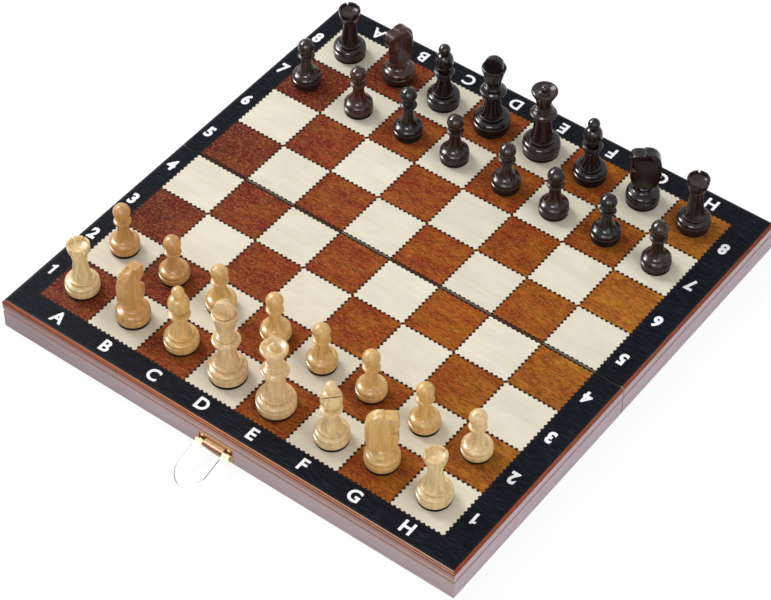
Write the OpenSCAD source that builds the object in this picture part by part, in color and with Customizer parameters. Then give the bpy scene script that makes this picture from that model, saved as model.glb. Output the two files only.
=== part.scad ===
// Folding chess box, opened flat, with its men set up for play.
// Two shallow trays lie back to back, board side up. Two small hinges under the
// middle join them, so the far tray swings down and under the near one, and the
// hasp on the near wall then drops over the catch on the far wall.
// Files run along +X, ranks along +Y. The rims of both trays lie on z = 0.

/* [Board] */
// Side of one square
square = 30; // [26:0.5:36]
// Width from the squares' outer edge to the outside of the box
border = 14; // [12:0.5:20]
// How far the squares sit off the box's centre line, towards file A
field_shift = 2.2; // [0:0.1:3]
// Height of one tray from its rim to the playing surface
box_h = 18.5; // [16.5:0.5:26]
// Gap between the two trays when the board is open
fold_gap = 0.8; // [0.4:0.1:1.2]

/* [Panels] */
// Thickness of the plywood core under the squares
core_t = 3; // [2:0.1:4]
// Thickness of the steel sheet that holds the magnets
steel_t = 0.3; // [0.2:0.05:0.5]
// Thickness of the wood veneers
veneer_t = 0.6; // [0.4:0.05:1]
// Saw line left between neighbouring veneers
veneer_gap = 0.1; // [0.05:0.01:0.2]
// Thickness of the felt that lines each tray
lining_t = 0.8; // [0.5:0.1:1.5]

/* [Rails] */
// Thickness of the outer rails
rail_w = 8; // [6:0.5:10]
// Thickness of the middle rails that carry the hinges
mid_w = 9.5; // [9.5:0.5:13]
// Width of the rail's edge that shows round the playing surface
lip_w = 2.2; // [2:0.1:4]
// Radius of the rails' top outer edge
edge_r = 1.8; // [0.6:0.1:1.9]
// Depth of the groove round the outside
groove_d = 1; // [0.5:0.1:1.4]
// Height of the groove's mouth
groove_h = 1.5; // [0.8:0.1:2]
// Groove's depth below the playing surface, as a share of the tray's height
groove_at = 0.375; // [0.3:0.005:0.38]

/* [Hinges] */
// Distance of each hinge from the middle of the board
hinge_x = 78; // [60:1:90]
// Length of one hinge
hinge_len = 30; // [24:1:40]
// Reach of a hinge leaf from the axis
leaf_reach = 8.2; // [7.4:0.1:9]
// Thickness of a hinge leaf
leaf_t = 0.8; // [0.6:0.05:1]
// Radius of the hinge pins
pin_r = 0.6; // [0.5:0.05:0.7]
// Outer radius of the hinge knuckles
knuckle_r = 1.35; // [1.25:0.05:1.5]
// Length of the hinge screws
screw_len = 6; // [4:0.5:9]

/* [Clasp] */
// Distance of the clasp from the middle of the wall, towards file A
clasp_shift = 1.5; // [0:0.5:10]
// Width of the wall plate and of the hasp
clasp_w = 20; // [18:0.5:26]
// Length of the hasp from its pin to its tip
hasp_len = 24; // [23:0.1:24.5]
// Width of the hasp's arms
arm_w = 4; // [3:0.1:4.5]
// Thickness of the brass sheet
sheet_t = 0.8; // [0.6:0.05:0.9]
// Height of the hasp's pin above the rim
pivot_z = 7.2; // [7:0.1:7.6]
// Distance of the hasp's pin from the wall
pivot_y = 2.4; // [2.35:0.05:2.6]
// Angle of the open hasp below the horizontal
hasp_drop = 16; // [10:1:16]

/* [Chessmen] */
// Height of the king
king_h = 50.5; // [44:0.5:58]
// Height of the queen
queen_h = 44.5; // [40:0.5:50]
// Height of the bishops
bishop_h = 39.5; // [35:0.5:45]
// Height of the knights
knight_h = 35; // [31:0.5:39]
// Height of the rooks
rook_h = 31; // [28:0.5:36]
// Height of the pawns
pawn_h = 29; // [26:0.5:33]
// Base radius of the king and queen
royal_r = 9.7; // [8.5:0.1:11]
// Base radius of the bishops, knights and rooks
officer_r = 8.6; // [7.6:0.1:9.6]
// Base radius of the pawns
pawn_r = 7.6; // [6.6:0.1:8.6]
// Radius of the magnet in each base
magnet_r = 4; // [3:0.1:4.5]
// Thickness of the magnets
magnet_t = 1.8; // [1:0.1:2.2]
// Thickness of the knights' flat heads at the shoulders
knight_t = 7; // [5:0.1:8]
// Thickness of the felt discs
felt_t = 1.3; // [0.8:0.05:1.6]

/* [Hidden] */
half = 4 * square + border;                  // half the side of the open board
panel_t = core_t + steel_t + veneer_t;       // everything that lies in the rebate
core_z = box_h - panel_t;                    // underside of the plywood
y0 = fold_gap / 2;                           // inner edge of a tray
seat = half - lip_w;                         // half the width of the rebate
axis_z = -0.15;                              // fold axis, just under the rims
pin_fit = 0.05;                              // running clearance round a pin
knuckle_gap = 0.2;                           // end clearance between knuckles
relief = knuckle_r + 0.4;                    // clearance cut in the middle rails
groove_z = box_h * (1 - groove_at);
screw_r = 0.75;
clasp_x = -clasp_shift;
wall_plate_top = pivot_z + 3.7;
barrel_r = 1.4;                              // rolled end of the hasp
clasp_pin_r = 0.55;
tab_w = clasp_w - 2 * (arm_w + 0.2 + 0.2);   // width of the plate's own knuckle
tail_r = clasp_w / 2;                        // rounded end of the hasp
window_r = tail_r - arm_w;
beak_r = 3.1;                                // head of the catch
catch_reach = hasp_len - arm_w - 0.2 - 0.55; // catch tip's distance from the hasp's pin
catch_z = catch_reach - beak_r - pivot_z + 2 * axis_z; // centre of the catch on its wall
magnet_z = felt_t + magnet_t;
magnet_fit = 0.05;                           // glue line round each magnet
felt_share = 0.95;                           // felt's radius as a share of the base's
slit_w = 0.5;                                // saw cut in the bishops' mitres
slit_angle = 46;
notch_w = 0.9;                               // notches in the rooks' battlements
notch_depth = 1.6;
mane_depth = 0.7;                            // step between the mane and the cheek
nail_r = 0.5;
nail_head_r = 1.1;
man_fn = 56;
small_fn = 32;

LACQUER = "#7a4436";
BLACKENED = "#1b1c2a";
MAHOGANY = "#8b4322";
MAPLE = "#ebe1c6";
PLYWOOD = "#c9ab7a";
FELT = "#23402f";
STEEL = "#9a9ea2";
BRASS = "#c9a64a";
LIGHT_WOOD = "#dcbd84";
DARK_WOOD = "#2d1b17";
BASE_FELT = "#1c1714";

// ---- shapes used by several pieces ----

// Points of an arc round c, both ends included
function arc(c, r, a0, a1, n = 6) =
    [for (i = [0:n]) let (a = a0 + (a1 - a0) * i / n) c + r * [cos(a), sin(a)]];

// Points of a curve from a to c that leans towards b, without its first point
function bend(a, b, c, n = 6) =
    [for (i = [1:n]) let (t = i / n) (1 - t) * (1 - t) * a + 2 * t * (1 - t) * b + t * t * c];

// One tray's pieces are drawn on the far side and mirrored for the near one
module on_side(side) {
    if (side > 0) children();
    else mirror([0, 1, 0]) children();
}

// ---- panels ----

module panel(side, z, t, inset = 0) {
    on_side(side)
        translate([-seat + inset, y0 + inset, z]) cube([2 * (seat - inset), seat - y0 - 2 * inset, t]);
}

module core(side) {
    panel(side, core_z, core_t);
}

module steel(side) {
    panel(side, core_z + core_t, steel_t);
}

// The veneers of one colour: colour 0 for dark squares, 1 for light ones
module squares(side, colour) {
    g = veneer_gap / 2;
    for (file = [0:7], row = [0:3]) {
        rank = side > 0 ? row + 4 : row;
        if ((file + rank) % 2 == colour) {
            low = side > 0 ? max(row * square, y0) : max((3 - row) * square, y0);
            high = side > 0 ? (row + 1) * square : (4 - row) * square;
            on_side(side)
                translate([(file - 4) * square - field_shift + g, low + (low > y0 ? g : 0), box_h - veneer_t])
                    cube([square - 2 * g, high - g - low - (low > y0 ? g : 0), veneer_t]);
        }
    }
}

// The blackened veneer round three sides of the squares
module border_veneer(side) {
    on_side(side)
        translate([0, 0, box_h - veneer_t]) linear_extrude(veneer_t) difference() {
            translate([-seat, y0]) square_2d([2 * seat, seat - y0]);
            translate([-4 * square - field_shift, y0 - 1]) square_2d([8 * square, 4 * square - y0 + 1]);
        }
}

module square_2d(size) {
    polygon([[0, 0], [size[0], 0], [size[0], size[1]], [0, size[1]]]);
}

module lining(side) {
    w = half - rail_w;
    on_side(side)
        translate([-w, y0 + mid_w, core_z - lining_t]) cube([2 * w, w - y0 - mid_w, lining_t]);
}

// ---- rails ----

// Section of an outer rail: u runs inwards from the outside face
function rail_section() = concat(
    [[rail_w, 0], [0.5, 0], [0, 0.5], [0, groove_z - groove_h / 2], [groove_d, groove_z],
     [0, groove_z + groove_h / 2]],
    arc([edge_r, box_h - edge_r], edge_r, 180, 90, 5),
    [[lip_w, box_h], [lip_w, core_z], [rail_w, core_z]]);

// A length of that section along +X from x0 to x1, its outside face on y = 0, inside at +Y
module rail_bar(x0, x1) {
    translate([x0, 0, 0]) rotate([90, 0, 90]) linear_extrude(x1 - x0) polygon(rail_section());
}

// The rail along the players' edge, mitred at both ends
module outer_rail(side) {
    on_side(side) translate([0, half, 0]) mirror([0, 1, 0]) intersection() {
        rail_bar(-half, half);
        translate([0, 0, -1]) linear_extrude(box_h + 2)
            polygon([[-half, 0], [half, 0], [half - rail_w, rail_w], [-half + rail_w, rail_w]]);
    }
}

// A rail along the side: mitred at the corner, square at the fold
module side_rail(side, hand) {
    on_side(side) scale_x(hand) translate([half, half, 0]) rotate([0, 0, 90]) mirror([1, 0, 0])
        intersection() {
            rail_bar(0, half - y0);
            translate([0, 0, -1]) linear_extrude(box_h + 2)
                polygon([[0, 0], [half - y0, 0], [half - y0, rail_w], [rail_w, rail_w]]);
        }
}

// Keeps its children on the right, or mirrors them to the left
module scale_x(hand) {
    if (hand > 0) children();
    else mirror([1, 0, 0]) children();
}

// The rail beside the fold, cut for the leaves, the knuckles and the screws
module middle_rail(side) {
    w = half - rail_w;
    on_side(side) difference() {
        translate([-w, y0, 0]) cube([2 * w, mid_w, core_z]);
        for (x = [-hinge_x, hinge_x]) translate([x, 0, 0]) {
            translate([-hinge_len / 2 - 0.1, -1, -1]) cube([hinge_len + 0.2, leaf_reach + 1.1, leaf_t + 1]);
            translate([-hinge_len / 2 - 0.3, -1, -1]) cube([hinge_len + 0.6, relief + 1, relief + 0.8]);
            screw_places() cylinder(h = screw_len, r = screw_r, $fn = small_fn);
        }
    }
}

// ---- hinges ----

module screw_places() {
    for (x = [-hinge_len / 3, hinge_len / 3]) translate([x, (leaf_reach + relief) / 2 + 0.3, 0]) children();
}

// One leaf with its knuckles: the near leaf has the two outer ones, the far leaf the middle one
module hinge_leaf(side) {
    third = hinge_len / 3;
    spans = side > 0 ? [[-third / 2 + knuckle_gap / 2, third / 2 - knuckle_gap / 2]]
                     : [[-hinge_len / 2, -third / 2 - knuckle_gap / 2], [third / 2 + knuckle_gap / 2, hinge_len / 2]];
    bore = side > 0 ? pin_r + pin_fit : pin_r;
    on_side(side) difference() {
        union() {
            translate([-hinge_len / 2, relief, 0]) cube([hinge_len, leaf_reach - relief, leaf_t]);
            for (s = spans) {
                translate([s[0], knuckle_r - 0.3, 0]) cube([s[1] - s[0], relief - knuckle_r + 0.4, leaf_t]);
                translate([s[0], 0, axis_z]) rotate([0, 90, 0])
                    cylinder(h = s[1] - s[0], r = knuckle_r, $fn = small_fn);
            }
            for (s = spans) translate([s[0], 0.35, 0]) cube([s[1] - s[0], relief - 0.35, leaf_t]);
        }
        translate([-hinge_len, 0, axis_z]) rotate([0, 90, 0])
            cylinder(h = 2 * hinge_len, r = bore, $fn = small_fn);
        screw_places() {
            translate([0, 0, -0.01]) cylinder(h = leaf_t - 0.05, r1 = 2 * screw_r + 0.1, r2 = screw_r + 0.1, $fn = small_fn);
            cylinder(h = leaf_t + 1, r = screw_r + 0.05, $fn = small_fn);
        }
    }
}

module hinge_pin() {
    translate([-hinge_len / 2, 0, axis_z]) rotate([0, 90, 0]) cylinder(h = hinge_len, r = pin_r, $fn = small_fn);
}

module hinge_screws(side) {
    on_side(side) for (x = [-hinge_x, hinge_x]) translate([x, 0, 0]) screw_places() difference() {
        union() {
            cylinder(h = leaf_t - 0.05, r1 = 2 * screw_r, r2 = screw_r, $fn = small_fn);
            cylinder(h = screw_len - 1, r = screw_r, $fn = small_fn);
            translate([0, 0, screw_len - 1]) cylinder(h = 1, r1 = screw_r, r2 = 0.1, $fn = small_fn);
        }
        translate([-2, -0.18, -0.1]) cube([4, 0.36, 0.45]);
    }
}

// ---- clasp ----

// A flat piece of brass sheet against a wall that faces -Y, drawn by its outline in X and Z
module wall_sheet(y, t) {
    translate([0, y, 0]) rotate([90, 0, 0]) linear_extrude(t) children();
}

module nail_places(spread, z) {
    for (x = [-spread, spread]) translate([x, 0, z]) children();
}

// A brass nail driven towards +Y, its domed head on the sheet at y = 0
module nail() {
    rotate([-90, 0, 0]) {
        cylinder(h = 5, r = nail_r, $fn = 24);
        intersection() {
            translate([0, 0, 0.6]) sphere(r = nail_head_r, $fn = 24);
            translate([-2, -2, -2]) cube([4, 4, 2]);
        }
    }
}

nail_x = clasp_w / 2 - 2;
nail_z = wall_plate_top - 1.3;

module clasp_frame() {
    translate([clasp_x, -half, 0]) children();
}

// The wall plate, bent out over the pin into one wide knuckle
module clasp_plate() {
    color(BRASS) clasp_frame() difference() {
        union() {
            wall_sheet(0, sheet_t) polygon(concat(
                [[clasp_w / 2, wall_plate_top], [-clasp_w / 2, wall_plate_top], [-clasp_w / 2, 2.4]],
                bend([-clasp_w / 2, 2.4], [-clasp_w / 3, 0.5], [0, 0.5], 8),
                bend([0, 0.5], [clasp_w / 3, 0.5], [clasp_w / 2, 2.4], 8)));
            translate([-tab_w / 2, -pivot_y, pivot_z + barrel_r - sheet_t])
                cube([tab_w, pivot_y - sheet_t / 2, sheet_t]);
            translate([-tab_w / 2, -pivot_y, pivot_z]) rotate([0, 90, 0])
                cylinder(h = tab_w, r = barrel_r, $fn = small_fn);
        }
        translate([-clasp_w, -pivot_y, pivot_z]) rotate([0, 90, 0])
            cylinder(h = 2 * clasp_w, r = clasp_pin_r, $fn = small_fn);
        nail_places(nail_x, nail_z) rotate([90, 0, 0]) translate([0, 0, -1]) cylinder(h = 3, r = nail_r, $fn = 24);
    }
}

module clasp_pin() {
    color(BRASS) clasp_frame() translate([-clasp_w / 2, -pivot_y, pivot_z]) rotate([0, 90, 0])
        cylinder(h = clasp_w, r = clasp_pin_r, $fn = small_fn);
}

module clasp_nails() {
    color(BRASS) clasp_frame() nail_places(nail_x, nail_z) translate([0, -sheet_t, 0]) nail();
}

// Outline of the hasp laid flat, pin on y = 0 and tip towards -Y
function hasp_outline(r, end, foot) =
    concat([[r, foot]], [[-r, foot]], arc([0, -end + r], r, 180, 360, 20));

module hasp() {
    color(BRASS) clasp_frame() translate([0, -pivot_y, pivot_z]) rotate([hasp_drop, 0, 0]) difference() {
        union() {
            translate([0, 0, -sheet_t / 2]) linear_extrude(sheet_t) difference() {
                polygon(hasp_outline(tail_r, hasp_len, -0.6));
                polygon(hasp_outline(window_r, hasp_len - arm_w - 0.2, -barrel_r - 1.4));
                translate([-tab_w / 2 - 0.2, -barrel_r - 1.5]) square_2d([tab_w + 0.4, 3]);
            }
            for (x = [-clasp_w / 2, tab_w / 2 + 0.2]) translate([x, 0, 0]) rotate([0, 90, 0])
                cylinder(h = clasp_w / 2 - tab_w / 2 - 0.2, r = barrel_r, $fn = small_fn);
        }
        translate([-clasp_w, 0, 0]) rotate([0, 90, 0])
            cylinder(h = 2 * clasp_w, r = clasp_pin_r + pin_fit, $fn = small_fn);
    }
}

// The catch on the far wall: a plate with a rounded beak that stands through the hasp's window
module catch_frame() {
    translate([clasp_x, half, catch_z]) rotate([0, 0, 180]) children();
}

module catch() {
    color(BRASS) catch_frame() difference() {
        union() {
            wall_sheet(0, sheet_t) polygon(concat(
                arc([5, -1.5], 2.5, 270, 360, 5), arc([5, 1.5], 2.5, 0, 90, 5),
                arc([-5, 1.5], 2.5, 90, 180, 5), arc([-5, -1.5], 2.5, 180, 270, 5)));
            rotate([90, 0, 0]) cylinder(h = pivot_y + 0.4, r = 2, $fn = small_fn);
            translate([0, -pivot_y - 0.3, 0]) rotate([90, 0, 0]) cylinder(h = 1.1, r1 = 2, r2 = beak_r, $fn = small_fn);
        }
        nail_places(5.6, 0) rotate([90, 0, 0]) translate([0, 0, -1]) cylinder(h = 3, r = nail_r, $fn = 24);
    }
}

module catch_nails() {
    color(BRASS) catch_frame() nail_places(5.6, 0) translate([0, -sheet_t, 0]) nail();
}

// ---- chessmen ----

// Middle of a square: file 0 to 7 for A to H, rank 0 to 7
function place(file, rank) = [(file - 3.5) * square - field_shift, (rank - 3.5) * square, box_h];

// Puts a man on the board. Each place holds its file and rank, how far it was set down off
// the square's middle in X and Y, its turn, and how much taller it is than its pattern.
module stand(p) {
    translate(place(p[0], p[1]) + [p[2], p[3], 0]) rotate([0, 0, p[4]]) children();
}

light_kings_at = [[3, 0, -0.5, 0, 107, 0]];
light_queens_at = [[4, 0, -0.5, -1.5, 0, 0]];
light_bishops_at = [[2, 0, 0, 1.5, 150, 0], [5, 0, 1.5, -1, -43, 0]];
light_knights_at = [[1, 0, 1, 0.5, 95, 0], [6, 0, -2, 2, 37, 0]];
light_rooks_at = [[0, 0, -0.5, 0, 39, 0.5], [7, 0, -1, 0, 10, 0]];
light_pawns_at = [
    [0, 1, -2, 2.5, 0, 1], [1, 1, -0.5, 2.5, 0, -1], [2, 1, -0.5, 1.5, 0, -1], [3, 1, 2, 2.5, 0, 0],
    [4, 1, 0.5, 1.5, 0, -1], [5, 1, -0.5, 1.5, 0, 0.5], [6, 1, 0.5, 1, 0, 0], [7, 1, -1, 2.5, 0, 0]];
dark_kings_at = [[3, 7, 0.5, 0, 102, -3.5]];
dark_queens_at = [[4, 7, 0.5, 1, 0, 0]];
dark_bishops_at = [[2, 7, 0.5, -0.5, 120, 0], [5, 7, 0.5, 0.5, 120, 0]];
dark_knights_at = [[1, 7, 1, 0.5, 262, 0], [6, 7, 0.5, 2.5, 215, 0]];
dark_rooks_at = [[0, 7, 0, -0.5, 20, 0], [7, 7, 0, 3, 0, 2]];
dark_pawns_at = [
    [0, 6, -4.5, -1, 0, 0], [1, 6, -0.5, -1.5, 0, 0.5], [2, 6, 0, 0, 0, 2.5], [3, 6, -1, 0, 0, 0.5],
    [4, 6, 1, -0.5, 0, 0], [5, 6, 0, -0.5, 0, 0.5], [6, 6, 0, 0.5, 0, 0], [7, 6, 0, -0.5, 0, 1]];

// The foot that all the men share: magnet pocket, flange, quirk and a bold torus that runs in
// to the radius inn at the height top, both as shares of the base radius
function foot(r, top = 0.92, inn = 0.73) = concat(
    [[0, magnet_z], [magnet_r, magnet_z], [magnet_r, felt_t], [0.92 * r, felt_t], [0.96 * r, felt_t + 0.3],
     [0.99 * r, 0.27 * r], [r, 0.54 * r], [0.945 * r, 0.57 * r], [0.945 * r, 0.62 * r]],
    bend([0.945 * r, 0.62 * r], [1.07 * r, (top + 0.76) / 2 * r], [inn * r, top * r], 8));

// Foot, a ring above it and the hollow stem up to a neck of radius neck at height z
function foot_and_stem(r, neck, z) = concat(
    foot(r), [[0.66 * r, 0.94 * r]], disc(0.75 * r, 1.02 * r, 0.12 * r), [[0.60 * r, 1.09 * r]],
    bend([0.60 * r, 1.09 * r], [neck * 1.15, 1.5 * r], [neck, z], 9));

// A ball's outside from its underside to its top
function ball(r, z, from = -60) = arc([0, z], r, from, 90, 9);

// A turned disc: thin, with a rounded edge
function disc(r, z, t) = arc([r - t / 2, z], t / 2, -90, 90, 4);

module turned(points) {
    rotate_extrude($fn = man_fn) polygon(points);
}

// The king's head can be turned taller or shorter than the pattern on the same body
module king(taller = 0) {
    r = 0.99 * royal_r;
    h = king_h;
    waist = 0.60 * h;
    grow = (0.40 * h + taller) / (0.40 * h);
    function up(share) = waist + (share - 0.60) * h * grow;
    difference() {
        turned(concat(
            foot_and_stem(r, 0.38 * r, 0.465 * h),
            [[0.45 * r, 0.470 * h]],
            disc(0.73 * r, 0.500 * h, 0.036 * h),
            [[0.56 * r, 0.535 * h]],
            disc(0.50 * r, 0.548 * h, 0.022 * h),
            [[0.42 * r, 0.565 * h]],
            disc(0.43 * r, 0.580 * h, 0.020 * h),
            [[0.38 * r, waist]],
            bend([0.38 * r, waist], [0.50 * r, up(0.70)], [0.63 * r, up(0.825)], 7),
            disc(0.66 * r, up(0.845), 0.030 * h),
            [[0.58 * r, up(0.862)], [0.53 * r, up(0.855)]],
            bend([0.53 * r, up(0.855)], [0.58 * r, up(0.995)], [0, up(1)], 10)));
        // the crown's flat face on one side, and the saw line across its top
        translate([0, 0, up(0.875)]) rotate([90, 0, 0]) linear_extrude(2 * r, center = true)
            polygon([[-0.16 * r, 0], [-0.02 * r, 0.3 * h], [-2 * r, 0.3 * h], [-2 * r, 0]]);
        translate([0.17 * r, 0, up(0.955)]) rotate([0, 8, 0])
            translate([-slit_w / 2, -r, 0]) cube([slit_w, 2 * r, 0.3 * h]);
    }
}

module queen() {
    r = royal_r;
    h = queen_h;
    turned(concat(
        foot_and_stem(r, 0.42 * r, 0.555 * h),
        [[0.48 * r, 0.56 * h]],
        disc(0.72 * r, 0.590 * h, 0.040 * h),
        [[0.56 * r, 0.625 * h]],
        disc(0.49 * r, 0.655 * h, 0.030 * h),
        [[0.43 * r, 0.68 * h]],
        disc(0.45 * r, 0.70 * h, 0.026 * h),
        [[0.40 * r, 0.73 * h]],
        bend([0.40 * r, 0.73 * h], [0.42 * r, 0.82 * h], [0.60 * r, 0.87 * h], 5),
        arc([0.58 * r, 0.92 * h], 0.118 * r, -60, 100, 6),
        [[0.45 * r, 0.935 * h], [0.35 * r, 0.925 * h]],
        ball(0.22 * r, h - 0.22 * r, -20)));
}

// The mitre's bulb has the radius bulb, as a share of the base radius
module bishop(bulb) {
    r = officer_r;
    h = bishop_h;
    finial_r = 0.36 * r;
    difference() {
        turned(concat(
            foot_and_stem(r, 0.38 * r, 0.455 * h),
            [[0.42 * r, 0.46 * h]],
            disc(0.49 * r, 0.485 * h, 0.040 * h),
            [[0.47 * r, 0.51 * h]],
            disc(0.63 * r, 0.555 * h, 0.040 * h),
            [[0.46 * r, 0.58 * h]],
            [[0.30 * r, 0.585 * h], [0.28 * r, 0.60 * h]],
            bend([0.28 * r, 0.60 * h], [1.02 * bulb * r, 0.635 * h], [bulb * r, 0.735 * h], 7),
            bend([bulb * r, 0.735 * h], [0.95 * bulb * r, 0.84 * h], [0.22 * r, h - 0.66 * r], 7),
            ball(finial_r, h - finial_r, -50)));
        // the saw cut in the mitre, downwards and inwards from the front
        translate([bulb * r, 0, 0.885 * h]) rotate([0, -slit_angle, 0])
            translate([-0.75 * r, -r, -slit_w / 2]) cube([2 * r, 2 * r, slit_w]);
    }
}

module rook(h) {
    r = officer_r;
    rim = 0.665 * r;
    difference() {
        turned(concat(
            foot_and_stem(r, 0.39 * r, 0.72 * h),
            [[0.46 * r, 0.73 * h], [0.47 * r, 0.76 * h], [0.45 * r, 0.78 * h]],
            bend([0.45 * r, 0.78 * h], [0.56 * r, 0.82 * h], [0.64 * r, 0.90 * h], 5),
            [[rim, 0.96 * h], [rim, 0.985 * h], [0.64 * r, h], [0.53 * r, h], [0.50 * r, 0.95 * h]],
            bend([0.50 * r, 0.95 * h], [0.30 * r, 0.925 * h], [0, 0.92 * h], 4)));
        // the notches round the battlement
        for (a = [0:60:120]) rotate([0, 0, a])
            translate([-r, -notch_w / 2, h - notch_depth]) cube([2 * r, notch_w, 2 * notch_depth]);
    }
}

// Side view of the horse's head and neck, nose towards +X. The four were carved by hand: gape
// opens the mouth from 0 to 1, and chest is the chest's reach as a share of the base radius.
function horse(r, h, gape, chest) = concat(
    [[-0.28 * r, 0.22 * h], [-0.28 * r, 0.315 * h], [-0.46 * r, 0.325 * h]],
    bend([-0.46 * r, 0.325 * h], [-0.68 * r, 0.35 * h], [-0.80 * r, 0.41 * h], 4),
    bend([-0.80 * r, 0.41 * h], [-0.91 * r, 0.47 * h], [-0.93 * r, 0.60 * h], 4),
    bend([-0.93 * r, 0.60 * h], [-0.95 * r, 0.76 * h], [-0.78 * r, 0.86 * h], 5),
    bend([-0.78 * r, 0.86 * h], [-0.58 * r, 0.965 * h], [-0.10 * r, 0.99 * h], 5),
    [[0.07 * r, h], [0.12 * r, 0.95 * h]],
    bend([0.12 * r, 0.95 * h], [0.40 * r, 0.965 * h], [0.68 * r, 0.945 * h], 3),
    bend([0.68 * r, 0.945 * h], [0.92 * r, 0.925 * h], [0.93 * r, 0.86 * h], 4),
    bend([0.93 * r, 0.86 * h], [0.96 * r, (0.74 + 0.04 * gape) * h],
         [0.77 * r, (0.71 + 0.06 * gape) * h], 4),
    [[(0.34 - 0.10 * gape) * r, 0.685 * h], [(chest - 0.13) * r, (0.665 - 0.10 * gape) * h]],
    bend([(chest - 0.13) * r, (0.665 - 0.10 * gape) * h], [(chest - 0.03) * r, (0.60 - 0.04 * gape) * h],
         [chest * r, 0.52 * h], 3),
    bend([chest * r, 0.52 * h], [(chest - 0.08) * r, 0.42 * h], [0.46 * r, 0.325 * h], 4),
    [[0.28 * r, 0.315 * h], [0.28 * r, 0.22 * h]]);

// The head from above: rounded in front, only eased behind
function head_plan(r, side) = concat(
    arc([0.95 * r - 0.8 * side, 0.2 * side], 0.8 * side, 0, 90, 5),
    arc([-0.95 * r + 0.3 * side, 0.7 * side], 0.3 * side, 90, 180, 3),
    arc([-0.95 * r + 0.3 * side, -0.7 * side], 0.3 * side, 180, 270, 3),
    arc([0.95 * r - 0.8 * side, -0.2 * side], 0.8 * side, 270, 360, 5));

// The head from the front: almost parallel sides and a round crown
function head_front(h, side) =
    let (half_front = concat([[side, 0.2 * h], [0.95 * side, 0.87 * h]],
             bend([0.95 * side, 0.87 * h], [0.93 * side, 1.01 * h], [0.20 * side, 1.01 * h], 6)))
    concat([for (i = [len(half_front) - 1:-1:0]) [-half_front[i][0], half_front[i][1]]], half_front);

// What lies behind the line that parts the mane from the cheek
function mane(r, h) = [
    [-2 * r, 0.20 * h], [-0.77 * r, 0.20 * h], [-0.77 * r, 0.68 * h], [-0.72 * r, 0.77 * h],
    [-0.55 * r, 0.86 * h], [-0.25 * r, 0.96 * h], [-0.20 * r, 1.2 * h], [-2 * r, 1.2 * h]];

// A flat-sided carved head on a turned foot
module knight(gape, chest) {
    r = officer_r;
    h = knight_h;
    side = knight_t / 2;
    union() {
        turned(concat(foot(r, 0.98), bend([0.73 * r, 0.98 * r], [0.54 * r, 1.0 * r], [0.50 * r, 1.30 * r], 5),
                      [[0, 1.32 * r]]));
        difference() {
            intersection() {
                rotate([90, 0, 0]) linear_extrude(2 * r, center = true) polygon(horse(r, h, gape, chest));
                rotate([90, 0, 90]) linear_extrude(4 * r, center = true) polygon(head_front(h, side));
                linear_extrude(2 * h) polygon(head_plan(r, side));
            }
            // between the ears
            translate([-0.10 * r, 0, h + 0.25]) rotate([0, 90, 0])
                cylinder(h = 0.7 * r, r = 0.4 * side, center = true, $fn = 24);
            for (s = [-1, 1]) translate([0, s * (side - mane_depth + r / 2), 0]) rotate([90, 0, 0])
                linear_extrude(r, center = true) polygon(mane(r, h));
        }
    }
}

module pawn(h) {
    r = pawn_r;
    head = 0.57 * r;
    turned(concat(
        foot(r, 1.04, 0.68),
        bend([0.68 * r, 1.04 * r], [0.38 * r, 1.3 * r], [0.36 * r, 0.60 * h], 8),
        [[0.42 * r, 0.615 * h]],
        disc(0.58 * r, 0.65 * h, 0.05 * h),
        [[0.42 * r, 0.68 * h]],
        ball(head, h - head, -42)));
}

// Discs under men of one size
module discs(places, r, z, t) {
    for (p = places) stand(p) translate([0, 0, z]) cylinder(h = t, r = r, $fn = small_fn);
}

module felts(royals, officers, pawns) {
    discs(royals, felt_share * royal_r, 0, felt_t);
    discs(officers, felt_share * officer_r, 0, felt_t);
    discs(pawns, felt_share * pawn_r, 0, felt_t);
}

module magnets(places) {
    discs(places, magnet_r - magnet_fit, felt_t, magnet_t);
}

// ---- the pieces by name ----

module near_core() { color(PLYWOOD) core(-1); }
module near_steel() { color(STEEL) steel(-1); }
module near_light_squares() { color(MAPLE) squares(-1, 1); }
module near_dark_squares() { color(MAHOGANY) squares(-1, 0); }
module near_border() { color(BLACKENED) border_veneer(-1); }
module near_lining() { color(FELT) lining(-1); }
module near_outer_rail() { color(LACQUER) near_outer_drilled(); }
module near_left_rail() { color(LACQUER) side_rail(-1, -1); }
module near_right_rail() { color(LACQUER) side_rail(-1, 1); }
module near_middle_rail() { color(LACQUER) middle_rail(-1); }
module far_core() { color(PLYWOOD) core(1); }
module far_steel() { color(STEEL) steel(1); }
module far_light_squares() { color(MAPLE) squares(1, 1); }
module far_dark_squares() { color(MAHOGANY) squares(1, 0); }
module far_border() { color(BLACKENED) border_veneer(1); }
module far_lining() { color(FELT) lining(1); }
module far_outer_rail() { color(LACQUER) far_outer_drilled(); }
module far_left_rail() { color(LACQUER) side_rail(1, -1); }
module far_right_rail() { color(LACQUER) side_rail(1, 1); }
module far_middle_rail() { color(LACQUER) middle_rail(1); }

// The outer rails take the clasp's nails
module near_outer_drilled() {
    difference() {
        outer_rail(-1);
        clasp_frame() nail_places(nail_x, nail_z) translate([0, -sheet_t, 0]) rotate([-90, 0, 0])
            cylinder(h = 5, r = nail_r, $fn = 24);
    }
}

module far_outer_drilled() {
    difference() {
        outer_rail(1);
        catch_frame() nail_places(5.6, 0) translate([0, -sheet_t, 0]) rotate([-90, 0, 0])
            cylinder(h = 5, r = nail_r, $fn = 24);
    }
}

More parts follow.
